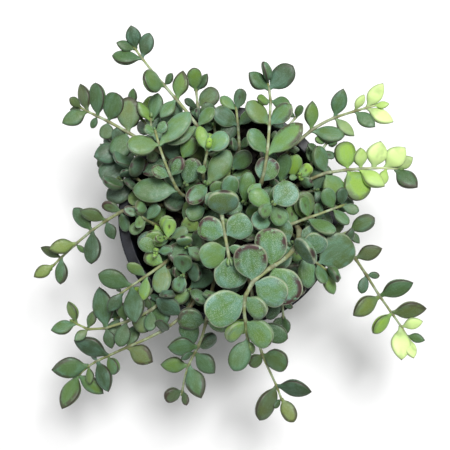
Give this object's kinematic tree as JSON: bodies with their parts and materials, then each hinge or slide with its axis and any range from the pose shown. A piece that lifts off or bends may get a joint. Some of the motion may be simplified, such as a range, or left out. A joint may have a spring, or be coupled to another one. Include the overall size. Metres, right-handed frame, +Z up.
{
  "type": "potted succulent",
  "caption": "Trailing leafy succulent with fleshy oval leaves in opposite pairs, growing out over the rim of a round plastic nursery pot.",
  "frame": {"origin": "centre of the pot's flat base, where it stands", "axes": "+Z up through the middle of the pot; +Y towards the side of the plant that is uppermost when it is seen from straight above; +X to the right in that view"},
  "size_m": [0.2564, 0.2511, 0.1591],
  "materials": {
    "black_plastic": "black moulded plastic, slightly dull",
    "soil": "dark, crumbly potting mix",
    "leaf": "waxy grey-green fleshy leaves with a mealy bloom"
  },
  "bodies": {
    "root": {"pot": "black_plastic", "shoot_01": "leaf", "shoot_02": "leaf", "shoot_03": "leaf", "shoot_04": "leaf", "shoot_05": "leaf", "shoot_06": "leaf", "shoot_07": "leaf", "shoot_08": "leaf", "shoot_09": "leaf", "shoot_10": "leaf", "shoot_11": "leaf", "shoot_12": "leaf", "shoot_13": "leaf", "shoot_14": "leaf", "shoot_15": "leaf", "shoot_16": "leaf", "shoot_17": "leaf", "shoot_18": "leaf", "shoot_19": "leaf", "shoot_20": "leaf", "shoot_21": "leaf", "shoot_22": "leaf", "shoot_23": "leaf", "shoot_24": "leaf", "shoot_25": "leaf", "shoot_26": "leaf", "shoot_27": "leaf", "shoot_28": "leaf", "shoot_29": "leaf", "soil": "soil", "stem_centre_east": "leaf", "stem_centre_tall": "leaf", "stem_east_crown": "leaf", "stem_east_long": "leaf", "stem_east_low": "leaf", "stem_east_mid": "leaf", "stem_north_east_inner": "leaf", "stem_north_east_long": "leaf", "stem_north_fill": "leaf", "stem_north_mid": "leaf", "stem_north_tall": "leaf", "stem_north_west_bud": "leaf", "stem_north_west_far": "leaf", "stem_north_west_fill": "leaf", "stem_north_west_long": "leaf", "stem_north_west_shoot": "leaf", "stem_south_east_far": "leaf", "stem_south_east_fill": "leaf", "stem_south_east_long": "leaf", "stem_south_long": "leaf", "stem_south_showy": "leaf", "stem_south_west_fill": "leaf", "stem_south_west_low": "leaf", "stem_south_west_mid": "leaf", "stem_south_west_upper": "leaf", "stem_west_hanging": "leaf", "stem_west_inner": "leaf", "stem_west_long": "leaf", "stem_west_upper": "leaf"}
  },
  "joints": []
}
